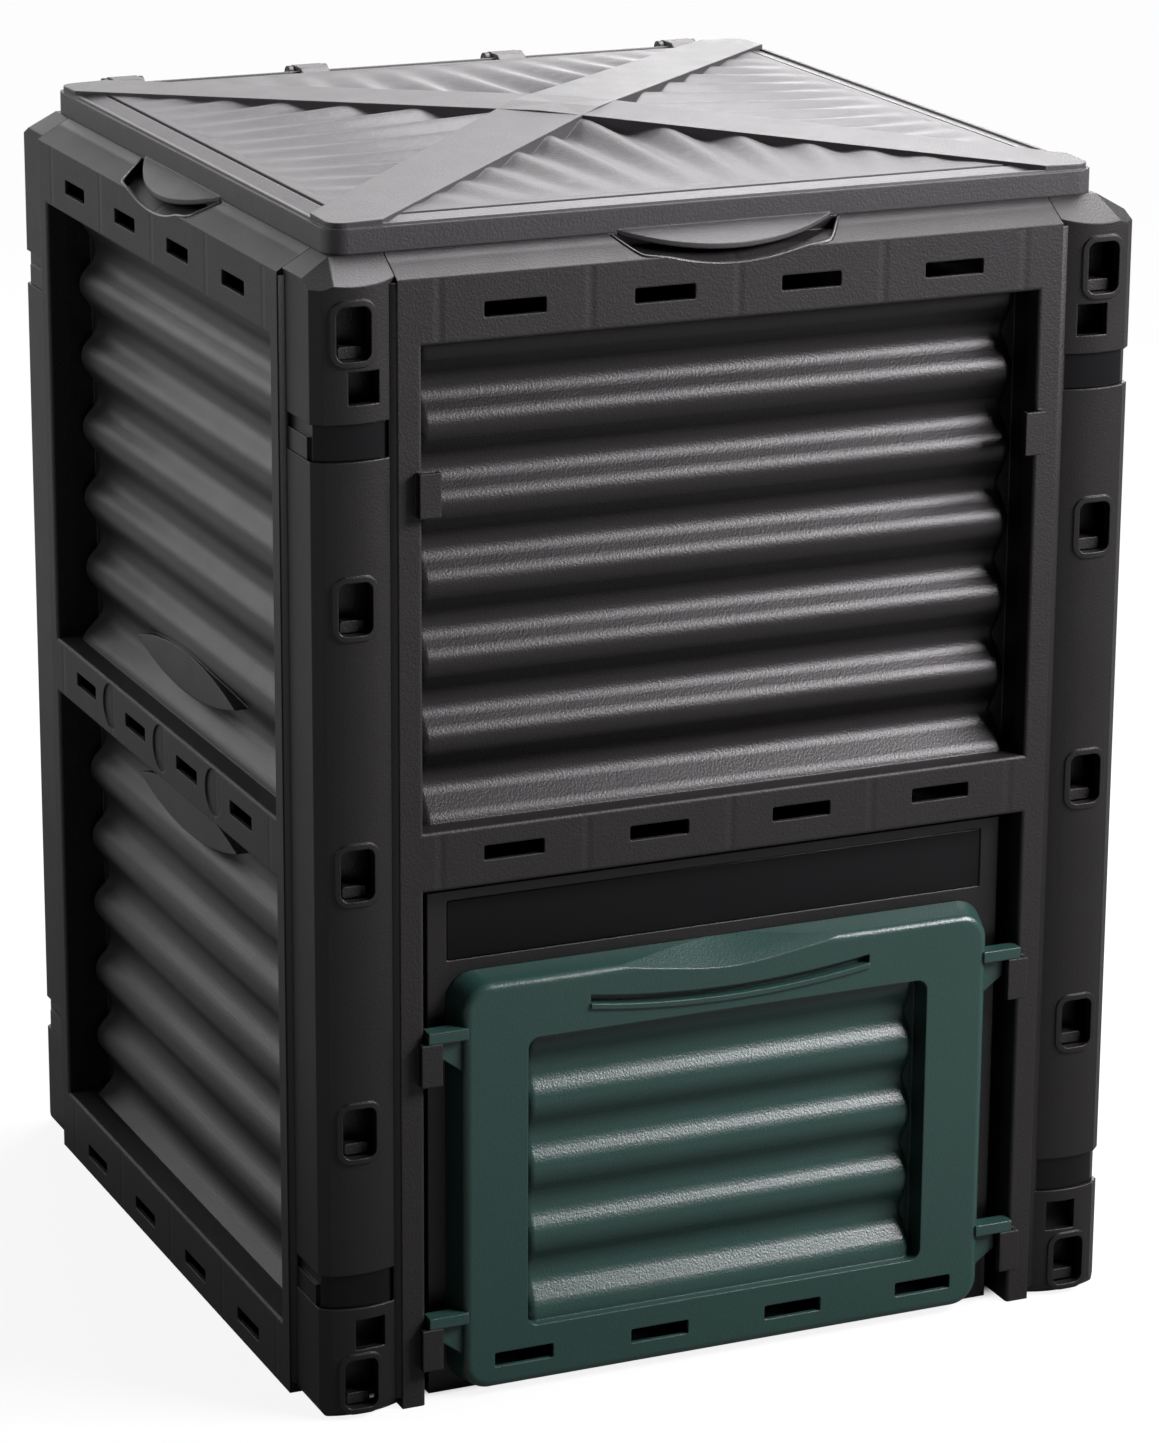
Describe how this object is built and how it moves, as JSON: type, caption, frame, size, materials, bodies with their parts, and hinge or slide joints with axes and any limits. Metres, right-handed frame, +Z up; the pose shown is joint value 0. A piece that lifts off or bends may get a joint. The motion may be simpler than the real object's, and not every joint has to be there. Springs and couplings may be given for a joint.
{
  "type": "thermal compost bin",
  "caption": "Square upright compost bin with wavy moulded walls, bulged corner posts, hinged wavy lid and a green lift-off door over the removal hatch.",
  "frame": {"origin": "middle of the bin's box, on the ground", "axes": "+Z up, -Y out of the front wall with the door, +X to the right seen from the front"},
  "size_m": [0.61, 0.6207, 0.8382],
  "materials": {
    "wall_plastic": "grained satin",
    "post_plastic": "grained satin",
    "lock_plastic": "smooth",
    "lid_plastic": "grained satin",
    "pin_plastic": "smooth",
    "door_plastic": "grained satin"
  },
  "bodies": {
    "bin": {"front_wall": "wall_plastic", "left_wall": "wall_plastic", "right_wall": "wall_plastic", "rear_wall": "wall_plastic", "corner_post_front_left": "post_plastic", "corner_post_front_right": "post_plastic", "corner_post_rear_left": "post_plastic", "corner_post_rear_right": "post_plastic", "corner_lock_front_left_lower": "lock_plastic", "corner_lock_front_left_upper": "lock_plastic", "corner_lock_front_right_lower": "lock_plastic", "corner_lock_front_right_upper": "lock_plastic", "corner_lock_rear_left_lower": "lock_plastic", "corner_lock_rear_left_upper": "lock_plastic", "corner_lock_rear_right_lower": "lock_plastic", "corner_lock_rear_right_upper": "lock_plastic", "lid_hinge_pin_1": "pin_plastic", "lid_hinge_pin_2": "pin_plastic", "lid_hinge_pin_3": "pin_plastic", "lid_hinge_pin_4": "pin_plastic"},
    "lid": {"lid": "lid_plastic"},
    "door": {"door": "door_plastic"}
  },
  "joints": [
    {"name": "lid_hinge", "type": "hinge", "parent": "bin", "child": "lid", "pos_m": [0, 0.29065, 0.818], "axis": [-1, 0, 0], "range_deg": [0, 105]},
    {"name": "door_lift", "type": "slide", "parent": "bin", "child": "door", "axis": [0, -0.4226, 0.9063], "range_m": [0, 0.36]}
  ]
}
